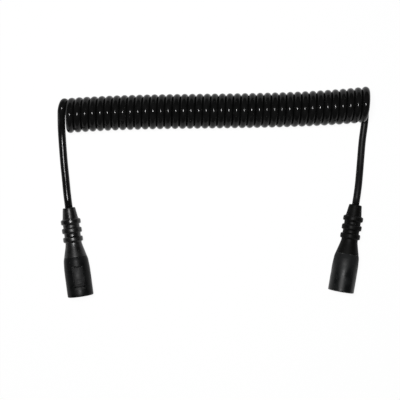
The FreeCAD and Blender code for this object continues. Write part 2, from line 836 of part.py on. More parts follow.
def least_gap(edges, per_edge=6):
    # Least distance between turns, measured on points along the middle line.
    points = []
    for edge in edges:
        points += edge.discretize(per_edge)[:-1]
    per_turn = 8 * (per_edge - 1)
    least = 1e9
    for i, point in enumerate(points):
        for other in points[i + per_turn // 2:i + 2 * per_turn]:
            least = min(least, point.distanceToPoint(other))
    return least - S.cable_diameter.number


def make_coil():
    edges, start, end = coil_path()
    wire = Part.Wire(edges)
    heading = edges[0].tangentAt(edges[0].FirstParameter)
    radius = S.cable_diameter.number / 2
    section = Part.Wire([Part.Circle(start, heading, radius).toShape()])
    tube = wire.makePipeShell([section], True, False)
    add_shape("coil", tube)
    print("coil length %.1f" % wire.Length, "least gap %.3f" % least_gap(edges),
          "volume/expected %.4f" % (tube.Volume / (math.pi * radius ** 2 * wire.Length)))
    print("coil ends", start, end)
    tightest = min(e.Curve.Radius for e in edges if isinstance(e.Curve, Part.Circle))
    print("coil's tightest bend %.2f" % tightest)
    return start, end


# Places on the table

def connector_place(x, y, yaw, roll):
    # Local Z to the connector's front, local Y up, then the roll about the axis.
    turned = math.radians(yaw.number)
    front = Vector(math.sin(turned), -math.cos(turned), 0)
    up = Vector(0, 0, 1)
    lying = Rotation(up.cross(front), up, front, "ZYX")
    roll_turn = Rotation(Vector(0, 0, 1), roll)
    return Placement(Vector(x.number, y.number, S.shell_radius.number), lying * roll_turn)


def place(piece, spot, along=0.0, shift=None):
    offset = Vector(0, 0, along)
    if shift is not None:
        offset = offset + shift
    piece.Placement = spot.multiply(Placement(offset, Rotation()))


def make_cores(name, side):
    # Two cores and the drain, from the jacket's end into the solder cups.
    start = S.cable_end.number - S.boot_length.number
    cup = S.cup_end.number
    cores = []
    for number, (x, y) in enumerate(contact_places(side), start=1):
        contact = Vector(plain(x), plain(y), 0)
        inside = contact * (S.core_circle.number / contact.Length)
        points = [
            inside + Vector(0, 0, start),
            inside + Vector(0, 0, start + S.core_straight.number),
            contact + Vector(0, 0, cup - S.core_turn.number),
            contact + Vector(0, 0, cup + S.core_depth.number),
        ]
        cores.append(make_tube("%s_core_%d" % (name, number), points, S.core_radius.number))
    return cores


def make_rear(name, spot, side):
    # What both connectors share behind their inserts.
    boot_spot = -S.boot_length.number
    place(make_boot(name + "_boot"), spot, boot_spot)
    place(make_collet(name + "_collet"), spot, boot_spot)
    place(make_cable_end(name + "_cable_end"), spot, boot_spot)
    for core in make_cores(name, side):
        place(core, spot)
    tag = make_earth_tag(name + "_earth_tag")
    turned = Placement(Vector(0, 0, 0), Rotation(Vector(0, 0, 1), S.tag_angle.number))
    tag.Placement = spot.multiply(turned)


def make_socket(spot):
    place(make_socket_shell(), spot)
    place(make_socket_insert(), spot)
    place(make_latch_lever(), spot)
    place(make_latch_pin(), spot)
    place(make_latch_spring(), spot)
    for number, (x, y) in enumerate(contact_places(SOCKET_SIDE), start=1):
        contact = make_socket_contact("socket_contact_%d" % number)
        place(contact, spot, shift=Vector(plain(x), plain(y), 0))
    make_rear("socket", spot, SOCKET_SIDE)


def make_plug(spot):
    place(make_plug_shell(), spot)
    place(make_plug_insert(), spot)
    for number, (x, y) in enumerate(contact_places(PLUG_SIDE), start=1):
        pin = make_plug_pin("plug_pin_%d" % number)
        place(pin, spot, shift=Vector(plain(x), plain(y), 0))
    make_rear("plug", spot, PLUG_SIDE)


# Straight runs of the tails, beside the coil and behind the boots.
RIGHT_FIRST_RUN = 7.5
LEFT_LAST_RUN = 10.0
RIGHT_LAST_RUN = 11.0


def boot_tip(spot, back=0.0):
    return spot.multVec(Vector(0, 0, -S.boot_length.number - back))


def make_lead(socket_spot, plug_spot):
    # The coil, then the two tails by points chosen along the photographed route.
    left_end, right_end = make_coil()
    radius = S.cable_diameter.number / 2
    _, leave = coil_start()
    down = left_end + leave * ((S.left_tail_height.number - left_end.z) / leave.z)
    make_tube("left_tail", [
        left_end,
        down,
        Vector(-112.75, 68.5, 8.0),
        Vector(-111.05, 53.0, 8.38),
        boot_tip(socket_spot, LEFT_LAST_RUN),
        boot_tip(socket_spot),
    ], radius)
    out = exit_heading(S.right_exit_turn.number)
    make_tube("right_tail", [
        right_end,
        right_end + out * RIGHT_FIRST_RUN,
        Vector(115.1, 84.0, radius),
        Vector(114.15, 72.0, radius),
        Vector(112.9, 60.0, 4.3),
        boot_tip(plug_spot, RIGHT_LAST_RUN),
        boot_tip(plug_spot),
    ], radius)


def check_pieces():
    for item in document.Objects:
        bad = [state for state in item.State if state in ("Invalid", "Error")]
        if bad:
            raise RuntimeError("%s: %s" % (item.Label, bad))
    for label, piece in pieces.items():
        if piece.Shape.isNull() or not piece.Shape.isValid():
            raise RuntimeError("%s has no valid shape" % label)


def write_pieces():
    os.makedirs("parts", exist_ok=True)
    for label, piece in pieces.items():
        piece.Shape.exportStep("parts/%s.step" % label)
        print("%-18s solids %d volume %.1f" % (label, len(piece.Shape.Solids), piece.Shape.Volume))


def main():
    socket_spot = connector_place(S.socket_x, S.socket_y, S.socket_yaw, S.socket_roll.number)
    plug_spot = connector_place(S.plug_x, S.plug_y, S.plug_yaw, 0.0)
    make_socket(socket_spot)
    make_plug(plug_spot)
    make_lead(socket_spot, plug_spot)
    document.recompute()
    check_pieces()
    write_pieces()


main()
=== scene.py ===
import json
import math

import bmesh
import bpy
from mathutils import Matrix, Vector
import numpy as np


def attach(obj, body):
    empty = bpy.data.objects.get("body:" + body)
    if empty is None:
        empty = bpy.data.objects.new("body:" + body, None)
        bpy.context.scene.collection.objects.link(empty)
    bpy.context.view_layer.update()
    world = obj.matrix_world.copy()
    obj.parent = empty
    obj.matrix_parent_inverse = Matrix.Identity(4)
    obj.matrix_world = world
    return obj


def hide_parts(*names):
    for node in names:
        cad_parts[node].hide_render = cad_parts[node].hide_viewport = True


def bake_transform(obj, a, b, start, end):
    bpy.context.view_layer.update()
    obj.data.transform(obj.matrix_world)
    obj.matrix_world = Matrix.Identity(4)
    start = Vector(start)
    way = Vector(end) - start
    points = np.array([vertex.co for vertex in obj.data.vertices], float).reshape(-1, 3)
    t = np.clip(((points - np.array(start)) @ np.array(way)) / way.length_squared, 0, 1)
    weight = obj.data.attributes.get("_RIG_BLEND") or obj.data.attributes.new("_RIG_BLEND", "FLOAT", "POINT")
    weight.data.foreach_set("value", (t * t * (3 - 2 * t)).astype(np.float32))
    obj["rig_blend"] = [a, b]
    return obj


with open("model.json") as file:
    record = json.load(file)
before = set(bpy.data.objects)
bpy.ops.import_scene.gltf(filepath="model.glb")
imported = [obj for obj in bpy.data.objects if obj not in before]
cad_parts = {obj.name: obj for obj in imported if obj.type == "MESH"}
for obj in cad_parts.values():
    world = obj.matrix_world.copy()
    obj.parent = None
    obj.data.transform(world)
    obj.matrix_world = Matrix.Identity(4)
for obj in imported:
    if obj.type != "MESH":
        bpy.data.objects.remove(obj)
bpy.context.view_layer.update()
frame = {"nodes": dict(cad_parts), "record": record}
nodes = frame["nodes"]
mounts = {m["name"]: m for m in frame["record"]["mounts"]}
mm = 0.001

# Camera straight above the table, a little left of the lead's middle
camera = {
    "place": (-9.1 * mm, 38.0 * mm, 720.0 * mm),
    "sensor": 36.0,
    "photoSide": 400,           # the photograph's side, in its own pixels
    "focalPixels": 936.8,       # focal length in those pixels
    "nearest": 0.01,
}


def makeCamera():
    data = bpy.data.cameras.new("camera")
    data.sensor_width = camera["sensor"]
    data.lens = camera["sensor"] * camera["focalPixels"] / camera["photoSide"]
    data.clip_start = camera["nearest"]
    item = bpy.data.objects.new("camera", data)
    item.location = camera["place"]     # unturned, it looks down with +Y up
    bpy.context.scene.collection.objects.link(item)
    bpy.context.scene.camera = item


makeCamera()
print("camera")


# Shapes and objects

shading = {
    "sharpFrom": 38.0,          # degrees between two faces
    "edgeMaskFrom": 0.12,         # radians at a corner, for none and for full edge mask: rubbing, and the plug barrel's painted highlights
    "edgeMaskTo": 0.5,
}


def showMesh(name, mesh):
    item = bpy.data.objects.new(name, mesh)
    bpy.context.scene.collection.objects.link(item)
    return item


def finishPiece(item, body, slot, material, *replaced):
    mesh = item.data
    mesh.shade_smooth()
    mesh.set_sharp_from_angle(angle=math.radians(shading["sharpFrom"]))
    markEdges(mesh)
    mesh.materials.clear()
    mesh.materials.append(material)
    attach(item, body)
    if replaced:
        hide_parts(*replaced)


def markEdges(mesh):
    # 1 on outward corners and 0 on level ground, for the rubbed edges and for the highlights painted on the
    # plug barrel's edges
    least, most = shading["edgeMaskFrom"], shading["edgeMaskTo"]
    work = bmesh.new()
    work.from_mesh(mesh)
    sharpest = [max((e.calc_face_angle_signed(0) for e in v.link_edges), default=0) for v in work.verts]
    work.free()
    values = mesh.attributes.new("edge", "FLOAT", "POINT").data
    for value, corner in zip(values, sharpest):
        value.value = min(max((corner - least) / (most - least), 0), 1)


def connectorSpot(shellName, contactNames, drop):
    # Local Z to the connector's front, local Y to the key's side, from the seat's plane
    first, second, third = (Vector(mounts[name]["pos_m"]) for name in contactNames)
    front = Vector(mounts[contactNames[0]]["axis"]).normalized()
    up = ((first + second) / 2 - third).normalized()
    side = up.cross(front)
    middle = third + up * drop
    seat = min(v.co.dot(front) for v in nodes[shellName].data.vertices)
    origin = middle + front * (seat - middle.dot(front))
    turned = Matrix((side, up, front)).transposed().to_4x4()
    return Matrix.Translation(origin) @ turned


contact3Drop = 4.2 * mm         # contact 3, below the connector's axis
socketSpot = connectorSpot("socket_shell", ["socket_hole_%d" % i for i in (1, 2, 3)], contact3Drop)
plugSpot = connectorSpot("plug_shell", ["plug_pin_%d" % i for i in (1, 2, 3)], contact3Drop)


# The lead: tail, end loop, coil and tail are one length of cable

lead = {
    "diameter": 5.1 * mm,
    "coilFullness": 1.15,           # the turns touch here, where the CAD keeps them apart
    "leftFullness": 1.15,
    "rightFullness": 1.07,
    "leftPolish": 0.7,              # the left tail shines, the right one is dull
    "length": 2.79,
    "turns": 40,
    "pitch": 5.654 * mm,
    "radius": 10.3 * mm,            # the coil's axis to the cable's middle
    "swell": 0.3 * mm,              # extra radius at the plug's end
    "middle": (2.69 * mm, 105.1 * mm),
    "tilt": 1.3 * mm,
    "bow": 0.65 * mm,
    "kick": 2.95 * mm,
    "lean": (1.5 * mm, 0.2 * mm),   # of the turns, at the socket's and the plug's end
    "extraTurn": 0.25,              # the coil's last quarter, from a crest to the table's side
    "exitShift": 0.5 * mm,
    "endLoop": 5.4 * mm,
    "endLoopDrop": 40.0,            # degrees under level, where the left tail leaves the loop
    "leftHeight": 8.0 * mm,         # the stiff left tail hangs between the coil and the boot
    "leftExit": 6.7,                # degrees aside of straight towards the boots
    "rightExit": 2.7,
    "bootLength": 37.5 * mm,
    "leftLastRun": 10.0 * mm,
    "rightLastRun": 11.0 * mm,
    "rightFirstRun": 7.5 * mm,
    "leftPoints": [(-112.75, 68.5, 8.0), (-111.05, 53.0, 8.38)],
    "rightPoints": [(115.1, 84.0, 2.55), (114.15, 72.0, 2.55), (112.9, 60.0, 4.3)],
    "pointsPerTurn": 16,
    "loopPoints": 8,
    "stepsPerPoint": 3,
    "bevelSteps": 8,
    "leastStep": 0.01 * mm,         # samples nearer than this to the last one are left out
    "headingStep": 0.0001,          # turns
}


def coilPoint(turn, stretch=1.0):
    share = 2 * turn / lead["turns"] - 1
    radius = lead["radius"] + lead["swell"] * max(share, 0) ** 2
    lean = lead["lean"][0] + (lead["lean"][1] - lead["lean"][0]) * turn / lead["turns"]
    angle = -2 * math.pi * turn
    x = lead["middle"][0] + share * lead["turns"] * lead["pitch"] / 2 - lean / 2 * math.cos(angle)
    y = lead["middle"][1] + lead["tilt"] * share + lead["bow"] * share ** 2 + lead["kick"] * share ** 3
    z = radius + lead["diameter"] * lead["coilFullness"] / 2
    late = min(max((turn - lead["turns"]) / lead["extraTurn"], 0), 1)
    x += lead["exitShift"] * late * late * (3 - 2 * late)
    wide = radius * stretch
    return Vector((x, y + wide * math.cos(angle), z + wide * math.sin(angle)))


def coilHeading(turn):
    step = lead["headingStep"]
    return (coilPoint(turn + step) - coilPoint(turn - step)).normalized()


def exitHeading(turned, drop=0.0):
    flat = math.cos(math.radians(drop))
    side, ahead = math.sin(math.radians(turned)), math.cos(math.radians(turned))
    return Vector((-side * flat, -ahead * flat, -math.sin(math.radians(drop))))


def loopRoute(crest, heading, leave):
    # Half loop that turns from the coil's first crest into the tail's slope
    back = -heading
    bend = math.acos(back.dot(leave))
    inward = (leave - back * math.cos(bend)).normalized()
    radius, count = lead["endLoop"], lead["loopPoints"]
    wide = radius / math.cos(bend / count / 2)
    centre = crest + inward * radius
    points = []
    for i in range(count):
        turned = (i + 0.5) * bend / count
        points.append(centre + (back * math.sin(turned) - inward * math.cos(turned)) * wide)
    end = centre + (back * math.sin(bend) - inward * math.cos(bend)) * radius
    return points, end


def leadRoute():
    leave = exitHeading(lead["leftExit"], lead["endLoopDrop"])
    loop, loopEnd = loopRoute(coilPoint(0), coilHeading(0), leave)
    leftEnd = loopEnd + leave * lead["diameter"]
    down = leftEnd + leave * ((lead["leftHeight"] - leftEnd.z) / leave.z)
    left = [socketSpot @ Vector((0, 0, -lead["bootLength"])),
            socketSpot @ Vector((0, 0, -lead["bootLength"] - lead["leftLastRun"]))]
    left += [Vector(p) * mm for p in reversed(lead["leftPoints"])]
    left += [down, leftEnd] + loop[::-1]
    perTurn = lead["pointsPerTurn"]
    stretch = 1 / math.cos(math.pi / perTurn)
    last = lead["turns"] + lead["extraTurn"]
    coil = [coilPoint((i + 0.5) / perTurn, stretch) for i in range(int(last * perTurn))]
    out = exitHeading(lead["rightExit"])
    rightEnd = coilPoint(last) + out * lead["diameter"]
    right = [rightEnd, rightEnd + out * lead["rightFirstRun"]]
    right += [Vector(p) * mm for p in lead["rightPoints"]]
    right += [plugSpot @ Vector((0, 0, -lead["bootLength"] - lead["rightLastRun"])),
              plugSpot @ Vector((0, 0, -lead["bootLength"]))]
    return left, coil, right


def leadCurve(left, coil, right):
    curve = bpy.data.curves.new("lead", "CURVE")
    curve.dimensions = "3D"
    spline = curve.splines.new("NURBS")
    points = left + coil + right
    spline.points.add(len(points) - 1)
    for index, (point, place) in enumerate(zip(spline.points, points)):
        point.co = (*place, 1)
        before = index - len(left)
        section = "left" if before < 0 else "coil" if before < len(coil) else "right"
        point.radius = lead[section + "Fullness"]
    spline.order_u = 3
    spline.use_endpoint_u = True
    spline.resolution_u = lead["stepsPerPoint"]
    return curve


def makeLead(material):
    left, coil, right = leadRoute()
    curve = leadCurve(left, coil, right)
    guide = showMesh("leadGuide", curve)
    middleLine = bpy.data.meshes.new_from_object(guide)
    samples = [v.co.copy() for v in middleLine.vertices]
    path = samples[:1]
    for place in samples[1:]:
        if (place - path[-1]).length > lead["leastStep"]:
            path.append(place)
    curve.bevel_depth = lead["diameter"] / 2
    curve.bevel_resolution = lead["bevelSteps"]
    tube = bpy.data.meshes.new_from_object(guide)
    bpy.data.objects.remove(guide)
    item = showMesh("lead", tube)
    sides = len(tube.vertices) // len(samples)
    capEnds(tube)
    item.data.materials.append(material)
    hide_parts("left_tail", "coil", "right_tail")
    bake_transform(item, "socket_end", "plug_end", start=coilPoint(0), end=coilPoint(lead["turns"]))
    shareByTurn(tube, sides, len(left), len(coil))


def capEnds(mesh):
    work = bmesh.new()
    work.from_mesh(mesh)
    rims = [e for e in work.edges if e.is_boundary]
    bmesh.ops.holes_fill(work, edges=rims, sides=0)
    work.to_mesh(mesh)
    work.free()


def shareByTurn(mesh, sides, leftCount, coilCount):
    # Each ring follows the plug by its own share of the coil's turns, and so stays round
    shares = mesh.attributes["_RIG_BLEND"].data
    polish = mesh.attributes.new("polish", "FLOAT", "POINT").data
    fade = lead["pointsPerTurn"] / 2
    for index in range(len(mesh.vertices)):
        along = index // sides / lead["stepsPerPoint"] - leftCount
        shares[index].value = min(max(along / coilCount, 0), 1)
        coiled = min(max(min(along, coilCount - along) / fade + 0.5, 0), 1)
        polish[index].value = max(coiled, lead["leftPolish"] if along < fade else 0)


# Turned pieces: an outline in a connector's own millimetres, spun round its axis

turned = {
    "steps": 115,
    "windowSteps": 15,      # of these, the latch window's width
    "roundSteps": 4,
    "support": 0.45,        # plain strip beside a round, so that it shades crisply
    "supportRoom": 2.4,     # an edge needs this many times its round and strip
    "merge": 0.001,
}


def withSupports(corners):
    # Extra points on both sides of each rounded corner, where its edges are long enough
    places = [Vector((c[0], c[1])) for c in corners]
    full = []
    for i, (corner, place) in enumerate(zip(corners, places)):
        reach = corner[2] + turned["support"]
        before, after = places[i - 1], places[(i + 1) % len(places)]
        room = [(other - place).length > turned["supportRoom"] * reach for other in (before, after)]
        if corner[2] > 0 and room[0]:
            full.append((*place.lerp(before, reach / (before - place).length), 0))
        full.append(corner)
        if corner[2] > 0 and room[1]:
            full.append((*place.lerp(after, reach / (after - place).length), 0))
    return full


def roundedLoop(work, corners):
    verts = [work.verts.new((radius * mm, 0, place * mm)) for radius, place, _ in corners]
    for a, b in zip(verts, verts[1:] + verts[:1]):
        work.edges.new((a, b))
    for rounding in sorted({c[2] for c in corners if c[2] > 0}):
        chosen = [v for v, c in zip(verts, corners) if c[2] == rounding]
        bmesh.ops.bevel(work, geom=chosen, offset=rounding * mm, offset_type="OFFSET", profile=0.5,
                        segments=turned["roundSteps"], affect="VERTICES", material=-1)


def spinOutline(corners):
    # The first column stands half the window's width from the top
    work = bmesh.new()
    roundedLoop(work, withSupports(corners))
    step = 2 * math.pi / turned["steps"]
    start = math.pi / 2 - turned["windowSteps"] / 2 * step
    bmesh.ops.rotate(work, cent=(0, 0, 0), matrix=Matrix.Rotation(start, 3, "Z"), verts=work.verts[:])
    bmesh.ops.spin(work, geom=work.verts[:] + work.edges[:], cent=(0, 0, 0), axis=(0, 0, 1),
                   angle=2 * math.pi, steps=turned["steps"], use_merge=True, use_duplicate=False)
    bmesh.ops.remove_doubles(work, verts=work.verts[:], dist=turned["merge"] * mm)
    bmesh.ops.recalc_face_normals(work, faces=work.faces[:])
    return work


def settleMesh(name, work, spot):
    work.transform(spot)
    mesh = bpy.data.meshes.new(name)
    work.to_mesh(mesh)
    work.free()
    return mesh


# Boots: from the cable end to the barrel

boot = {
    "length": 37.5,
    "bore": 2.6,
    "boreRound": 0.3,
    "tip": (4.7, 0.6),                  # radius and round
    "cone": (5.9, 8.4),                 # radius and place
    "coneRound": 0.35,
    "coneStep": 0.02,                   # along the axis, from the cone's end to the neck
    "neck": 6.2,
    "neckRound": 0.55,
    "waist": (6.05, 27.6),
    "waistRound": 3.6,
    "seat": 8.65,
    "seatRound": 0.25,
    "rib": (7.5, 3.9, 1.15),            # radius, width and round
    "ribs": (10.7, 6.7, 3),             # first, pitch and count
    "inside": 7.0,                      # wall's inside at the barrel's seat
    "insideDepth": 3.0,
    "insideRound": 0.5,
    "frontRound": 0.2,
}


def bootOutline():
    # Corners as radius, place and round
    corners = [(boot["bore"], 0, boot["boreRound"]), (boot["tip"][0], 0, boot["tip"][1]),
               (*boot["cone"], boot["coneRound"])]
    radius, width, rounding = boot["rib"]
    first, pitch, count = boot["ribs"]
    corners.append((boot["neck"], boot["cone"][1] + boot["coneStep"], 0))
    for i in range(count):
        low = first + i * pitch - width / 2
        high = low + width
        corners += [(boot["neck"], low, boot["neckRound"] if i else 0), (radius, low, rounding),
                    (radius, high, rounding), (boot["neck"], high, boot["neckRound"])]
    corners += [(*boot["waist"], boot["waistRound"]), (boot["seat"], boot["length"], boot["seatRound"]),
                (boot["inside"], boot["length"], boot["frontRound"]),
                (boot["inside"], boot["length"] - boot["insideDepth"], boot["insideRound"]),
                (boot["bore"], boot["waist"][1], boot["insideRound"])]
    return corners


def makeBoot(side, spot, body, material):
    name = side + "Boot"
    place = spot @ Matrix.Translation((0, 0, -boot["length"] * mm))
    item = showMesh(name, settleMesh(name, spinOutline(bootOutline()), place))
    finishPiece(item, body, "boot_black", material, side + "_boot")


# Barrels: from the boot's seat to the front

barrel = {
    "bore": 8.0,
    "boreRound": 0.15,
    "outer": 9.8,
    "seat": (8.65, 0.2),                # radius and round
    "knee": (9.3, 2.4, 0.9),            # radius, place and round
    "full": (9.8, 9.5, 2.5),            # radius, place and round
    "socketLength": 30.0,
    "plugLength": 29.0,
    "socketRim": 0.9,
    "plugRim": 0.45,
    "mouth": 0.35,
    "window": (3.9, 7.0, 22.7),         # half width, rear and front
    "windowRound": 0.14,
    "windowRoundSteps": 2,
    "overAxis": 6.0,                    # what lies higher than this is the window's side
    "cutWithin": 0.006,                 # corners this near a cut are moved onto it
    "key": (2.2, 1.0, 18.6, 28.6),      # width, height, rear and front
    "keySunk": 0.3,                     # the key's foot inside the wall
    "keyRound": 0.25,
    "keyRoundSteps": 3,
}


def barrelOutline(length, rim):
    # Corners as radius, place and round
    return [(barrel["bore"], 0, barrel["boreRound"]), (barrel["seat"][0], 0, barrel["seat"][1]),
            barrel["knee"], barrel["full"], (barrel["outer"], length, rim),
            (barrel["bore"], length, barrel["mouth"])]


def bisect(work, faces, place, normal):
    geom = set(faces)
    for face in faces:
        geom.update(face.verts)
        geom.update(face.edges)
    bmesh.ops.bisect_plane(work, geom=list(geom), dist=barrel["cutWithin"] * mm,
                           plane_co=Vector(place) * mm, plane_no=normal)


def cutWindow(work):
    half, rear, front = barrel["window"]
    upper = barrel["overAxis"] * mm

    def overWindow(face):
        middle = face.calc_center_median()
        return middle.y > upper and rear * mm < middle.z < front * mm

    for place in (rear, front):
        bisect(work, [f for f in work.faces if f.calc_center_median().y > upper], (0, 0, place), (0, 0, 1))
    for side in (-half, half):
        bisect(work, [f for f in work.faces if overWindow(f)], (side, 0, 0), (1, 0, 0))
    inside = [f for f in work.faces if overWindow(f) and abs(f.calc_center_median().x) < half * mm]
    bmesh.ops.delete(work, geom=inside, context="FACES")
    rims = [e for e in work.edges if e.is_boundary]
    outerRim = [e for e in rims if min(v.co.xy.length for v in e.verts) > barrel["seat"][0] * mm]
    bmesh.ops.bridge_loops(work, edges=rims)
    bmesh.ops.recalc_face_normals(work, faces=work.faces[:])
    bmesh.ops.bevel(work, geom=outerRim, offset=barrel["windowRound"] * mm, offset_type="OFFSET",
                    segments=barrel["windowRoundSteps"], profile=0.5, affect="EDGES", material=-1)


def addKey(work):
    width, height, rear, front = barrel["key"]
    tall = height + barrel["keySunk"]
    made = bmesh.ops.create_cube(work, size=1)["verts"]
    bmesh.ops.scale(work, vec=(width * mm, tall * mm, (front - rear) * mm), verts=made)
    middle = (0, (barrel["bore"] - height + tall / 2) * mm, (front + rear) / 2 * mm)
    bmesh.ops.translate(work, vec=middle, verts=made)
    edges = {e for v in made for e in v.link_edges if all(u.co.y < middle[1] for u in e.verts)}
    bmesh.ops.bevel(work, geom=list(edges), offset=barrel["keyRound"] * mm, offset_type="OFFSET",
                    segments=barrel["keyRoundSteps"], profile=0.5, affect="EDGES", material=-1)


def makeSocketBarrel(material):
    work = spinOutline(barrelOutline(barrel["socketLength"], barrel["socketRim"]))
    cutWindow(work)
    item = showMesh("socketBarrel", settleMesh("socketBarrel", work, socketSpot))
    finishPiece(item, "socket_end", "black_barrel", material, "socket_shell")


def makePlugBarrel(material):
    work = spinOutline(barrelOutline(barrel["plugLength"], barrel["plugRim"]))
    addKey(work)
    item = showMesh("plugBarrel", settleMesh("plugBarrel", work, plugSpot))
    finishPiece(item, "plug_end", "black_barrel", material, "plug_shell")


# Small parts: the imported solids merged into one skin, with their corners eased

smallPart = {
    "merge": 0.001 * mm,
    "easeAngle": 40.0,              # corners sharper than this are eased
    "easeSteps": 2,
}


def easedPart(node, name, body, slot, material, ease=0.0):
    work = bmesh.new()
    work.from_mesh(nodes[node].data)
    bmesh.ops.remove_doubles(work, verts=work.verts[:], dist=smallPart["merge"])
    if ease:
        least = math.radians(smallPart["easeAngle"])
        corners = [e for e in work.edges if e.calc_face_angle(0) > least]
        bmesh.ops.bevel(work, geom=corners, offset=ease * mm, offset_type="OFFSET",
                        segments=smallPart["easeSteps"], profile=0.5, affect="EDGES",
                        clamp_overlap=True, material=-1)
    item = showMesh(name, settleMesh(name, work, Matrix.Identity(4)))
    finishPiece(item, body, slot, material, node)


# Numbers beside the contacts on both faces

numbers = {
    "size": 2.3,
    "raised": 0.12,
    "sunk": 0.05,
    "ease": 0.03,
    "easeSteps": 1,
    "socketFace": 29.2,
    "plugFace": 15.0,
    "first": (3.55, 4.75),      # middle of number 1 aside of and above the axis
    "third": (2.75, -4.6),      # middle of number 3
}


def numberMesh(work, text, place):
    curve = bpy.data.curves.new("number", "FONT")
    curve.body = text
    curve.size = numbers["size"] * mm
    curve.align_x = "CENTER"
    curve.align_y = "CENTER"
    curve.extrude = (numbers["raised"] + numbers["sunk"]) / 2 * mm
    curve.bevel_depth = numbers["ease"] * mm
    curve.bevel_resolution = numbers["easeSteps"]
    item = bpy.data.objects.new("number", curve)
    mesh = bpy.data.meshes.new_from_object(item)
    mesh.transform(Matrix.Translation(Vector(place) * mm))
    work.from_mesh(mesh)
    bpy.data.objects.remove(item)


def makeNumbers(name, face, side, spot, body, material):
    # side is -1 where contact 1 is on the left of the face
    middle = face + (numbers["raised"] - numbers["sunk"]) / 2
    aside, above = numbers["first"]
    places = [(side * aside, above), (-side * aside, above), numbers["third"]]
    work = bmesh.new()
    for count, (x, y) in enumerate(places, start=1):
        numberMesh(work, str(count), (x, y, middle))
    item = showMesh(name, settleMesh(name, work, spot))
    finishPiece(item, body, "black_insert", material)


# Node trees

def feed(tree, socket, value):
    # value is another node's output or a constant
    if isinstance(value, bpy.types.NodeSocket):
        tree.links.new(value, socket)
    else:
        socket.default_value = value


def addNode(tree, kind, inputs=None, **settings):
    made = tree.nodes.new(kind)
    for name, value in settings.items():
        setattr(made, name, value)
    for name, value in (inputs or {}).items():
        feed(tree, made.inputs[name], value)
    return made


def calc(tree, operation, a, b=0.0, clamp=False):
    return addNode(tree, "ShaderNodeMath", {0: a, 1: b}, operation=operation, use_clamp=clamp).outputs[0]


def ramp(tree, value, low, high, outLow=0.0, outHigh=1.0):
    inputs = {"Value": value, "From Min": low, "From Max": high, "To Min": outLow, "To Max": outHigh}
    return addNode(tree, "ShaderNodeMapRange", inputs, interpolation_type="SMOOTHSTEP").outputs["Result"]


def noise(tree, vector, scale, detail=2.0, rough=0.5):
    inputs = {"Vector": vector, "Scale": scale, "Detail": detail, "Roughness": rough}
    return addNode(tree, "ShaderNodeTexNoise", inputs).outputs["Fac"]


def blendColour(tree, factor, a, b):
    # Of the node's sockets, 6, 7 and 2 are the colours
    a, b = (c if isinstance(c, bpy.types.NodeSocket) else (*c, 1) for c in (a, b))
    return addNode(tree, "ShaderNodeMix", {0: factor, 6: a, 7: b}, data_type="RGBA").outputs[2]


def newGroup(name, vectors, floats, gives):
    tree = bpy.data.node_groups.new(name, "ShaderNodeTree")
    for kind, labels in (("Vector", vectors), ("Float", floats)):
        for label in labels:
            tree.interface.new_socket(name=label, in_out="INPUT", socket_type="NodeSocket" + kind)
    for label in gives:
        tree.interface.new_socket(name=label, in_out="OUTPUT", socket_type="NodeSocketFloat")
    return tree, tree.nodes.new("NodeGroupInput").outputs, tree.nodes.new("NodeGroupOutput").inputs


def useGroup(tree, group, inputs):
    return addNode(tree, "ShaderNodeGroup", inputs, node_tree=group).outputs


# Effects that several finishes share. A noise is given as its scale, detail and roughness.

moulding = {
    "grain": (4200.0, 3.0, 0.6),
    "ripple": (700.0, 1.0, 0.4),
    "cloud": (140.0, 3.0, 0.55),
    "cloudRange": (0.32, 0.68),
}


def mouldedSkinGroup():
    # Spark-eroded grain over a slow ripple, with cloudy patches of gloss
    tree, takes, gives = newGroup("mouldedSkin", ["Vector"], ["Ripple", "Ripple Depth"],
                                  ["Height", "Mottle"])
    grain = noise(tree, takes["Vector"], *moulding["grain"])
    ripple = noise(tree, takes["Vector"], takes["Ripple"], *moulding["ripple"][1:])
    deep = calc(tree, "MULTIPLY", ripple, takes["Ripple Depth"])
    tree.links.new(calc(tree, "ADD", grain, deep), gives["Height"])
    cloud = noise(tree, takes["Vector"], *moulding["cloud"])
    tree.links.new(ramp(tree, cloud, *moulding["cloudRange"]), gives["Mottle"])
    return tree


wearAndGlintNoise = {
    "patches": (420.0, 3.0, 0.65),
    "patchRange": (0.42, 0.66),
    "scuffs": (2600.0, 2.0, 0.6),
    "scuffRange": (0.3, 0.62),
}


def rubbedEdgeGroup():
    # Outward corners polished and greyed by handling, broken up by noise. With the plug barrel's pale colour
    # the same mask paints highlights along its edges, on top of the wear.
    tree, takes, gives = newGroup("wearAndGlintEdges", ["Vector"], ["Edge", "Amount"], ["Mask"])
    patches = ramp(tree, noise(tree, takes["Vector"], *wearAndGlintNoise["patches"]), *wearAndGlintNoise["patchRange"])
    scuffs = ramp(tree, noise(tree, takes["Vector"], *wearAndGlintNoise["scuffs"]), *wearAndGlintNoise["scuffRange"])
    wearAndGlint = calc(tree, "MULTIPLY", calc(tree, "MULTIPLY", patches, scuffs), takes["Edge"])
    tree.links.new(calc(tree, "MULTIPLY", wearAndGlint, takes["Amount"], clamp=True), gives["Mask"])
    return tree


lint = {
    "cells": 620.0,
    "speckRange": (0.16, 0.07),     # distance from a cell's middle
    "chanceRange": (0.78, 0.8),     # cells above this hold a speck
    "upRange": (0.1, 0.8),
    "roughens": 0.4,
}


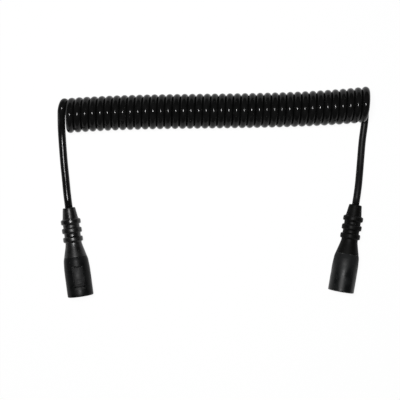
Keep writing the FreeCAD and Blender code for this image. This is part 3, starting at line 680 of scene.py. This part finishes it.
def lintGroup():
    # Sparse dust specks on the sides that face up
    tree, takes, gives = newGroup("lint", ["Vector", "Normal"], ["Amount"], ["Mask"])
    cells = addNode(tree, "ShaderNodeTexVoronoi", {"Vector": takes["Vector"], "Scale": lint["cells"]})
    speck = ramp(tree, cells.outputs["Distance"], *lint["speckRange"])
    chance = addNode(tree, "ShaderNodeSeparateColor", {0: cells.outputs["Color"]}).outputs[0]
    some = ramp(tree, chance, *lint["chanceRange"])
    up = addNode(tree, "ShaderNodeSeparateXYZ", {0: takes["Normal"]}).outputs["Z"]
    lying = ramp(tree, up, *lint["upRange"])
    seen = calc(tree, "MULTIPLY", calc(tree, "MULTIPLY", speck, some), lying)
    tree.links.new(calc(tree, "MULTIPLY", seen, takes["Amount"], clamp=True), gives["Mask"])
    return tree


extrusion = {
    "drift": (60.0, 1.0),
    "driftBy": 2.0,                                 # radians that the die lines wander
    "dieLines": ((7, 0.5), (17, 0.3), (31, 0.2)),   # lines round the jacket, and their heights
    "linesShare": 0.1,
    "slow": (520.0, 2.0),
    "fine": (5200.0, 2.0),
    "fineShare": 0.25,
    "bands": (34.0, 2.0),
    "cloud": (190.0, 2.0),
    "mottleRange": (0.75, 1.25),
}


def extrudedSkinGroup():
    # Die lines along a jacket and a slow unevenness, by the turn round it and the metres along it
    tree, takes, gives = newGroup("extrudedSkin", ["Vector"], ["Around", "Along"], ["Height", "Mottle"])
    drift = calc(tree, "MULTIPLY", noise(tree, takes["Vector"], *extrusion["drift"]), extrusion["driftBy"])
    total = None
    for lines, height in extrusion["dieLines"]:
        turnedBy = calc(tree, "MULTIPLY", takes["Around"], 2 * math.pi * lines)
        wave = calc(tree, "COSINE", calc(tree, "ADD", turnedBy, drift))
        wave = calc(tree, "MULTIPLY", wave, height)
        total = wave if total is None else calc(tree, "ADD", total, wave)
    slow = noise(tree, takes["Vector"], *extrusion["slow"])
    fine = noise(tree, takes["Vector"], *extrusion["fine"])
    total = calc(tree, "ADD", calc(tree, "MULTIPLY", total, extrusion["linesShare"]), slow)
    fine = calc(tree, "MULTIPLY", fine, extrusion["fineShare"])
    tree.links.new(calc(tree, "ADD", total, fine), gives["Height"])
    length = addNode(tree, "ShaderNodeCombineXYZ", {"X": takes["Along"]}).outputs[0]
    bands = noise(tree, length, *extrusion["bands"])
    cloud = noise(tree, takes["Vector"], *extrusion["cloud"])
    both = calc(tree, "ADD", bands, cloud)
    tree.links.new(ramp(tree, both, *extrusion["mottleRange"]), gives["Mottle"])
    return tree


tooling = {
    "stretch": (0.04, 0.04, 1.0),   # tool lines lie across the piece's own Z
    "lines": (9000.0, 2.0, 0.6),
    "cloud": (480.0, 4.0, 0.6),
    "cloudRange": (0.45, 0.72),
    "tarnishRoughens": 0.16,
}


def workedMetalGroup():
    # Fine tool lines across the piece's own Z, and cloudy tarnish
    tree, takes, gives = newGroup("workedMetal", ["Vector"], ["Lines"], ["Height", "Tarnish"])
    across = addNode(tree, "ShaderNodeVectorMath", {0: takes["Vector"], 1: tooling["stretch"]},
                     operation="MULTIPLY").outputs["Vector"]
    tree.links.new(noise(tree, across, takes["Lines"], *tooling["lines"][1:]), gives["Height"])
    cloud = noise(tree, takes["Vector"], *tooling["cloud"])
    tree.links.new(ramp(tree, cloud, *tooling["cloudRange"]), gives["Tarnish"])
    return tree


groups = {
    "moulded": mouldedSkinGroup(),
    "wornAndGlinting": rubbedEdgeGroup(),
    "lint": lintGroup(),
    "extruded": extrudedSkinGroup(),
    "metal": workedMetalGroup(),
}


# Finishes

finish = {
    "lintColour": (0.16, 0.155, 0.15),
    "rubbedColour": (0.07, 0.07, 0.07),
    "blackIor": 1.18,           # dull black plastics, with little glare at their edges
    "mottle": (0.8, 1.25),      # darkest and lightest share of a moulded colour
    "rubbedPolish": 0.12,
    "plainIor": 1.45,
}


def newMaterial(name, ior=finish["plainIor"], metallic=0.0):
    material = bpy.data.materials.new(name)
    material.use_nodes = True
    shader = material.node_tree.nodes["Principled BSDF"]
    shader.inputs["IOR"].default_value = ior
    shader.inputs["Metallic"].default_value = metallic
    return material, material.node_tree, shader


def setBump(tree, shader, height, depth):
    bump = addNode(tree, "ShaderNodeBump", {"Height": height, "Distance": depth * mm, "Strength": 1.0})
    tree.links.new(bump.outputs["Normal"], shader.inputs["Normal"])


def ownPlace(tree, place, spot):
    # The place in a connector's own directions and distances
    return addNode(tree, "ShaderNodeMapping", {"Vector": place, "Location": spot.to_translation(),
                                               "Rotation": spot.to_euler()},
                   vector_type="TEXTURE").outputs["Vector"]


def mouldedMaterial(name, colour, roughness, ripple=moulding["ripple"][0], rippleDepth=1.0, depth=0.012,
                    spread=0.08, wearAndGlintAmount=0.5, specks=0.35, ior=finish["blackIor"],
                    wornAndGlinting=finish["rubbedColour"], dullTo=None):
    material, tree, shader = newMaterial(name, ior)
    coords = addNode(tree, "ShaderNodeTexCoord").outputs
    edge = addNode(tree, "ShaderNodeAttribute", attribute_name="edge").outputs["Fac"]
    skin = useGroup(tree, groups["moulded"], {"Vector": coords["Object"], "Ripple": ripple,
                                              "Ripple Depth": rippleDepth})
    wearAndGlint = useGroup(tree, groups["wornAndGlinting"], {"Vector": coords["Object"], "Edge": edge, "Amount": wearAndGlintAmount})
    dust = useGroup(tree, groups["lint"], {"Vector": coords["Object"], "Normal": coords["Normal"],
                                           "Amount": specks})
    shades = (tuple(c * share for c in colour) for share in finish["mottle"])
    base = blendColour(tree, skin["Mottle"], *shades)
    # Rubbed corners in their worn colour. On the plug barrel this colour is pale grey and is painted
    # highlight along its edges, besides wear.
    base = blendColour(tree, wearAndGlint["Mask"], base, wornAndGlinting)
    base = blendColour(tree, dust["Mask"], base, finish["lintColour"])
    tree.links.new(base, shader.inputs["Base Color"])
    gloss = ramp(tree, skin["Mottle"], 0.0, 1.0, roughness - spread, roughness + spread)
    if dullTo:                      # duller from its seat to this place along the connector
        spot, low, high, extra = dullTo
        own = addNode(tree, "ShaderNodeSeparateXYZ", {0: ownPlace(tree, coords["Object"], spot)})
        gloss = calc(tree, "ADD", gloss, ramp(tree, own.outputs["Z"], low * mm, high * mm, extra, 0.0))
    gloss = calc(tree, "SUBTRACT", gloss, calc(tree, "MULTIPLY", wearAndGlint["Mask"], finish["rubbedPolish"]))
    gloss = calc(tree, "ADD", gloss, calc(tree, "MULTIPLY", dust["Mask"], lint["roughens"]), clamp=True)
    tree.links.new(gloss, shader.inputs["Roughness"])
    setBump(tree, shader, skin["Height"], depth)
    return material


jacket = {
    "colour": (0.004, 0.004, 0.004),
    "mottle": (0.75, 1.3),
    "coilGloss": 0.13,          # roughness of the polished coil and of the dull right tail
    "tailGloss": 0.5,
    "glossSpread": 0.035,
    "depth": 0.02,
    "ior": 1.24,
    "specks": 0.3,
}


def jacketMaterial():
    material, tree, shader = newMaterial("jacket", jacket["ior"])
    coords = addNode(tree, "ShaderNodeTexCoord").outputs
    uv = addNode(tree, "ShaderNodeSeparateXYZ", {0: coords["UV"]}).outputs
    along = calc(tree, "MULTIPLY", uv["Y"], lead["length"])
    polish = addNode(tree, "ShaderNodeAttribute", attribute_name="polish").outputs["Fac"]
    skin = useGroup(tree, groups["extruded"], {"Around": uv["X"], "Along": along,
                                               "Vector": coords["Object"]})
    dust = useGroup(tree, groups["lint"], {"Vector": coords["Object"], "Normal": coords["Normal"],
                                           "Amount": jacket["specks"]})
    shades = (tuple(c * share for c in jacket["colour"]) for share in jacket["mottle"])
    base = blendColour(tree, skin["Mottle"], *shades)
    base = blendColour(tree, dust["Mask"], base, finish["lintColour"])
    tree.links.new(base, shader.inputs["Base Color"])
    spread = jacket["glossSpread"]
    gloss = ramp(tree, polish, 0.0, 1.0, jacket["tailGloss"], jacket["coilGloss"])
    gloss = calc(tree, "ADD", gloss, ramp(tree, skin["Mottle"], 0.0, 1.0, -spread, spread))
    gloss = calc(tree, "ADD", gloss, calc(tree, "MULTIPLY", dust["Mask"], lint["roughens"]), clamp=True)
    tree.links.new(gloss, shader.inputs["Roughness"])
    setBump(tree, shader, skin["Height"], jacket["depth"])
    return material


def metalMaterial(name, spot, bright, tarnished, roughness, lines=tooling["lines"][0], depth=0.002):
    material, tree, shader = newMaterial(name, metallic=1.0)
    place = addNode(tree, "ShaderNodeTexCoord").outputs["Object"]
    skin = useGroup(tree, groups["metal"], {"Vector": ownPlace(tree, place, spot), "Lines": lines})
    tree.links.new(blendColour(tree, skin["Tarnish"], bright, tarnished), shader.inputs["Base Color"])
    gloss = ramp(tree, skin["Tarnish"], 0.0, 1.0, roughness, roughness + tooling["tarnishRoughens"])
    tree.links.new(gloss, shader.inputs["Roughness"])
    setBump(tree, shader, skin["Height"], depth)
    return material


# Light, floor and world

studio = {
    "lampPlace": (-65.0 * mm, 102.0 * mm, 720.0 * mm),
    "lampAim": (0.0, 60.0 * mm, 0.0),
    "lampSize": (0.09, 0.18),
    "lampPower": 5.5,
    "ambient": 0.08,
    "paperTop": (0.0, 0.12),    # sines above the horizon between which the white fades out
    "floorSide": 60.0,
    "floorDrop": 0.05 * mm,
    "paper": (0.95, 0.95, 0.95, 1),
    "floorShown": 0.94,         # share of the floor that shows plain white
}


def makeLight():
    data = bpy.data.lights.new("lamp", "AREA")
    data.shape = "RECTANGLE"
    data.size, data.size_y = studio["lampSize"]
    data.energy = studio["lampPower"]
    item = bpy.data.objects.new("lamp", data)
    item.location = studio["lampPlace"]
    aim = Vector(studio["lampAim"]) - Vector(studio["lampPlace"])
    item.rotation_euler = aim.to_track_quat("-Z", "Y").to_euler()
    bpy.context.scene.collection.objects.link(item)


def makeWorld():
    world = bpy.data.worlds.new("world")
    bpy.context.scene.world = world
    world.use_nodes = True
    tree = world.node_tree
    background = tree.nodes["Background"]
    background.inputs["Color"].default_value = (1, 1, 1, 1)
    light = addNode(tree, "ShaderNodeLightPath").outputs
    seen = calc(tree, "ADD", light["Is Camera Ray"], light["Is Glossy Ray"])
    seen = calc(tree, "ADD", seen, light["Is Transmission Ray"], clamp=True)
    place = addNode(tree, "ShaderNodeTexCoord").outputs["Generated"]
    height = addNode(tree, "ShaderNodeSeparateXYZ", {0: place}).outputs["Z"]
    paper = ramp(tree, height, *studio["paperTop"], 1.0, 0.0)
    share = calc(tree, "MULTIPLY", seen, paper)
    strength = calc(tree, "MULTIPLY", share, 1 - studio["ambient"])
    tree.links.new(calc(tree, "ADD", strength, studio["ambient"]), background.inputs["Strength"])


def floorMaterial():
    material = bpy.data.materials.new("floorWhite")
    material.use_nodes = True
    tree = material.node_tree
    tree.nodes.clear()
    output = addNode(tree, "ShaderNodeOutputMaterial")
    paper = addNode(tree, "ShaderNodeBsdfDiffuse", {"Color": studio["paper"]})
    white = addNode(tree, "ShaderNodeEmission")
    light = addNode(tree, "ShaderNodeLightPath").outputs
    seen = calc(tree, "ADD", light["Is Camera Ray"], light["Is Glossy Ray"])
    seen = calc(tree, "ADD", seen, light["Is Transmission Ray"], clamp=True)
    share = calc(tree, "MULTIPLY", seen, studio["floorShown"])
    mix = addNode(tree, "ShaderNodeMixShader", {0: share, 1: paper.outputs[0], 2: white.outputs[0]})
    tree.links.new(mix.outputs[0], output.inputs["Surface"])
    return material


def makeFloor():
    work = bmesh.new()
    bmesh.ops.create_grid(work, x_segments=1, y_segments=1, size=studio["floorSide"] / 2)
    bmesh.ops.translate(work, verts=work.verts[:], vec=(0, 0, -studio["floorDrop"]))
    mesh = bpy.data.meshes.new("floor")
    work.to_mesh(mesh)
    work.free()
    floor = showMesh("floor", mesh)
    floor.data.materials.append(floorMaterial())


makeLight()
makeWorld()
makeFloor()
bpy.context.scene.view_settings.view_transform = "Standard"
print("studio")

# Finishes of the pieces

plastics = {
    "socketBootRubber": {"colour": (0.003, 0.003, 0.003), "roughness": 0.33, "ripple": 600.0,
                         "rippleDepth": 2.0, "depth": 0.02, "wearAndGlintAmount": 0.3, "ior": 1.4},
    "plugBootRubber": {"colour": (0.0032, 0.0032, 0.003), "roughness": 0.5, "wearAndGlintAmount": 0.3, "ior": 1.15},
    "socketBarrelPlastic": {"colour": (0.0035, 0.0037, 0.0039), "roughness": 0.36},
    # The plug barrel's strong, pale rubbing is partly wear and partly painted highlight: pale glints painted
    # along its rim and edges.
    "plugBarrelPlastic": {"colour": (0.0035, 0.0039, 0.0041), "roughness": 0.36, "wearAndGlintAmount": 1.8, "ior": 1.3,
                          "wornAndGlinting": (0.2, 0.2, 0.2), "dullTo": (plugSpot, 3.0, 15.0, 0.34)},
    "latchPlastic": {"colour": (0.009, 0.009, 0.0095), "roughness": 0.55, "ior": 1.24},
    "insertPlastic": {"colour": (0.014, 0.014, 0.015), "roughness": 0.36, "wearAndGlintAmount": 0.8, "ior": 1.4},
    "cutJacket": {"colour": (0.006, 0.006, 0.006), "roughness": 0.4, "wearAndGlintAmount": 0.2},
    "colletNylon": {"colour": (0.4, 0.41, 0.42), "roughness": 0.48, "wearAndGlintAmount": 0.4, "ior": 1.5,
                    "wornAndGlinting": (0.6, 0.6, 0.6)},
    "coreRed": {"colour": (0.42, 0.016, 0.012), "roughness": 0.34, "wearAndGlintAmount": 0, "specks": 0, "ior": 1.5},
    "coreWhite": {"colour": (0.72, 0.71, 0.67), "roughness": 0.34, "wearAndGlintAmount": 0, "specks": 0, "ior": 1.5},
}
metals = {
    "gilt": {"bright": (0.83, 0.58, 0.24), "tarnished": (0.62, 0.4, 0.15), "roughness": 0.2},
    "tinned": {"bright": (0.66, 0.66, 0.64), "tarnished": (0.42, 0.42, 0.4), "roughness": 0.34},
    "copper": {"bright": (0.78, 0.38, 0.22), "tarnished": (0.45, 0.2, 0.12), "roughness": 0.3,
               "lines": 3500.0, "depth": 0.02},
    "steel": {"bright": (0.6, 0.6, 0.6), "tarnished": (0.36, 0.36, 0.38), "roughness": 0.28},
}
plastic = {name: mouldedMaterial(name, **values) for name, values in plastics.items()}


# The pieces in their finishes

eases = {
    "insert": 0.12,
    "earthTag": 0.06,
    "collet": 0.12,
    "cableEnd": 0.15,
    "lever": 0.08,
    "pin": 0.08,
    "spring": 0.05,
}


def makeInside(side, spot, body, contactNode):
    gilt = metalMaterial(side + "Gilt", spot, **metals["gilt"])
    tinned = metalMaterial(side + "Tinned", spot, **metals["tinned"])
    copper = metalMaterial(side + "Copper", spot, **metals["copper"])
    easedPart(side + "_insert", side + "Insert", body, "black_insert", plastic["insertPlastic"],
              eases["insert"])
    for i in (1, 2, 3):
        easedPart(contactNode % i, "%sContact%d" % (side, i), body, "gilt_contact", gilt)
    easedPart(side + "_earth_tag", side + "EarthTag", body, "tinned_tag", tinned, eases["earthTag"])
    easedPart(side + "_collet", side + "Collet", body, "collet_grey", plastic["colletNylon"],
              eases["collet"])
    easedPart(side + "_cable_end", side + "CableEnd", body, "black_jacket", plastic["cutJacket"],
              eases["cableEnd"])
    cores = (("drain_copper", copper), ("core_red", plastic["coreRed"]), ("core_white", plastic["coreWhite"]))
    for i, (slot, material) in enumerate(cores, start=1):
        easedPart("%s_core_%d" % (side, i), "%sCore%d" % (side, i), body, slot, material)


def makeLatch():
    steel = metalMaterial("springSteel", socketSpot, **metals["steel"])
    easedPart("latch_lever", "latchLever", "latch", "latch_black", plastic["latchPlastic"], eases["lever"])
    easedPart("latch_pin", "latchPin", "socket_end", "spring_steel", steel, eases["pin"])
    easedPart("latch_spring", "latchSpring", "socket_end", "spring_steel", steel, eases["spring"])


makeLead(jacketMaterial())
print("lead")
makeBoot("socket", socketSpot, "socket_end", plastic["socketBootRubber"])
makeInside("socket", socketSpot, "socket_end", "socket_contact_%d")
makeBoot("plug", plugSpot, "plug_end", plastic["plugBootRubber"])
makeInside("plug", plugSpot, "plug_end", "plug_pin_%d")
print("boots and what they hold")
makeSocketBarrel(plastic["socketBarrelPlastic"])
makePlugBarrel(plastic["plugBarrelPlastic"])
makeLatch()
makeNumbers("socketNumbers", numbers["socketFace"], -1, socketSpot, "socket_end", plastic["insertPlastic"])
makeNumbers("plugNumbers", numbers["plugFace"], 1, plugSpot, "plug_end", plastic["insertPlastic"])
print("connectors")
